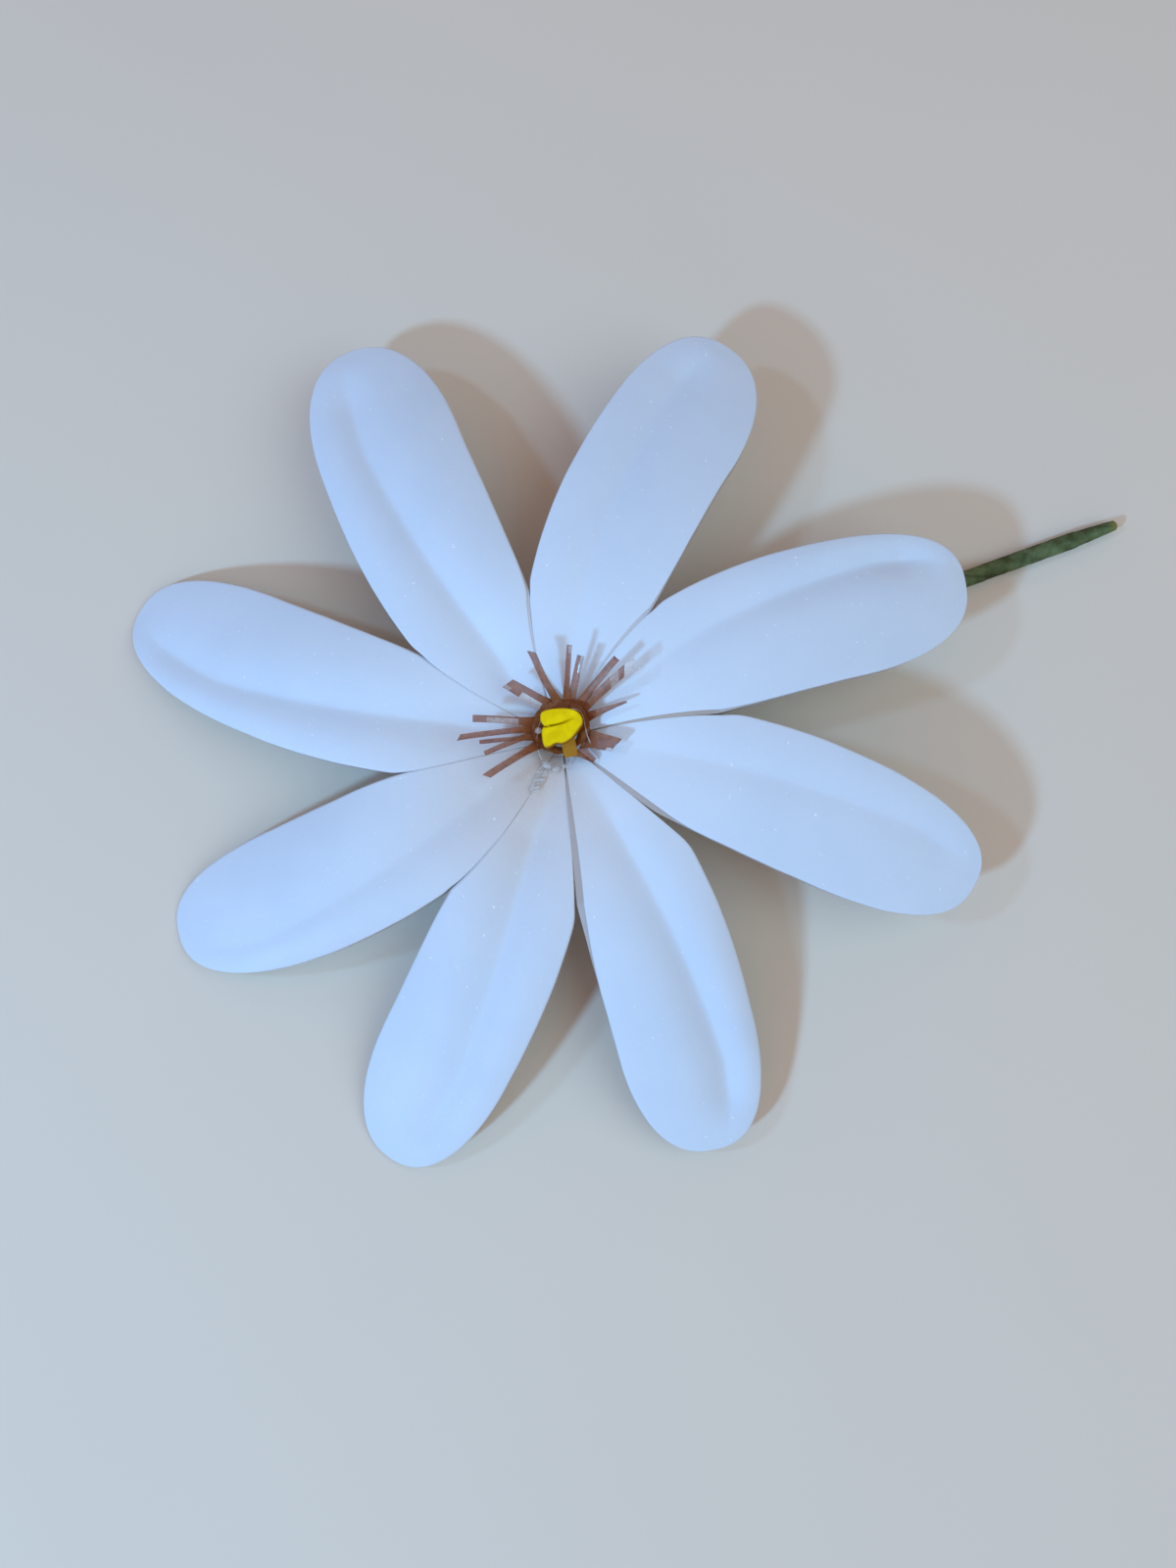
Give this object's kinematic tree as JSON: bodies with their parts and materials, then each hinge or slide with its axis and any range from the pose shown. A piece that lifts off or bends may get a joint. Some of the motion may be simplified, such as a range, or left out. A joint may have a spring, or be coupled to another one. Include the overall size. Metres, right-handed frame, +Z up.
{
  "type": "foam tiare flower",
  "caption": "Handmade foam tiare flower lying face up: long creased white petals, a fringe of brown film stamens, a folded yellow middle and a bent stem of taped wire.",
  "frame": {"origin": "middle of the object's box in plan, on the surface that it lies on", "axes": "+Z up out of the flower's face; +Y towards the upper petals of the picture; +X to the side on which the stem runs out"},
  "size_m": [0.1518, 0.122, 0.0194],
  "materials": {
    "white_foam": "matte",
    "brown_film": "satin",
    "yellow_foam": "matte",
    "clear_glue": "gloss",
    "green_tape": "matte",
    "steel_wire": "satin"
  },
  "bodies": {
    "root": {"petal_1": "white_foam", "petal_2": "white_foam", "petal_3": "white_foam", "petal_4": "white_foam", "petal_5": "white_foam", "petal_6": "white_foam", "petal_7": "white_foam", "petal_8": "white_foam", "stamen_fringe": "brown_film", "pistil": "yellow_foam", "hot_glue": "clear_glue", "stem_tape": "green_tape", "stem_wire": "steel_wire"}
  },
  "joints": []
}
